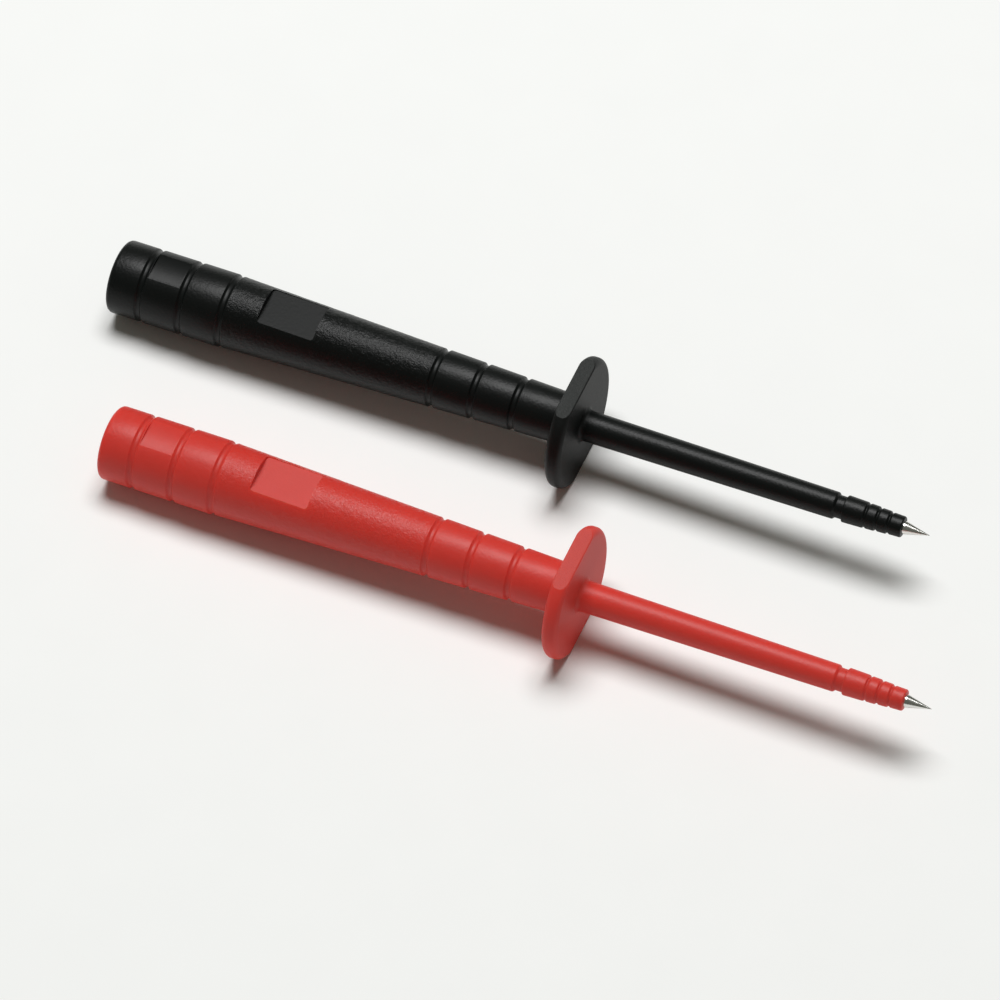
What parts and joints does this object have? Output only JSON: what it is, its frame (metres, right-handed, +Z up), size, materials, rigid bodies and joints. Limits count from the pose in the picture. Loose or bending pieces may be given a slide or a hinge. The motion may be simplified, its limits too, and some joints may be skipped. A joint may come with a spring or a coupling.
{
  "type": "pair of insulated test probes",
  "caption": "Pair of long insulated test probes with grooved tapering grips, flatted finger guards, slim shafts, ribbed nose caps and steel needle points.",
  "frame": {"origin": "on the table, under the middle of the pair's box", "axes": "+X towards the needle points, +Y from the red probe to the black one, +Z up"},
  "size_m": [0.218, 0.0748, 0.0257],
  "materials": {
    "black_plastic": "satin, stippled on the grip's middle",
    "red_plastic": "satin, stippled on the grip's middle",
    "polished_steel": "polished stainless steel",
    "nickelled_brass": "turned, nickel plated",
    "spring_steel": "plain spring steel",
    "post_plastic": "smooth moulded",
    "natural_nylon": "natural nylon"
  },
  "bodies": {
    "black_probe": {"black_grip": "black_plastic", "black_guard_shaft": "black_plastic", "black_needle": "polished_steel", "black_contact_socket": "nickelled_brass", "black_socket_insulator": "post_plastic", "black_retaining_ring": "spring_steel", "black_spring_washer": "spring_steel", "black_flat_washer": "spring_steel", "black_centring_bush": "natural_nylon"},
    "black_cap": {"black_nose_cap": "black_plastic"},
    "red_probe": {"red_grip": "red_plastic", "red_guard_shaft": "red_plastic", "red_needle": "polished_steel", "red_contact_socket": "nickelled_brass", "red_socket_insulator": "post_plastic", "red_retaining_ring": "spring_steel", "red_spring_washer": "spring_steel", "red_flat_washer": "spring_steel", "red_centring_bush": "natural_nylon"},
    "red_cap": {"red_nose_cap": "red_plastic"}
  },
  "joints": [
    {"name": "black_cap_pull", "type": "slide", "parent": "black_probe", "child": "black_cap", "axis": [0.9993, 0, 0.0367], "range_m": [0, 0.022]},
    {"name": "red_probe_aside", "type": "slide", "parent": "black_probe", "child": "red_probe", "axis": [0, -1, 0], "range_m": [0, 0.08]},
    {"name": "red_cap_pull", "type": "slide", "parent": "red_probe", "child": "red_cap", "axis": [0.9993, 0, 0.0367], "range_m": [0, 0.022]}
  ]
}
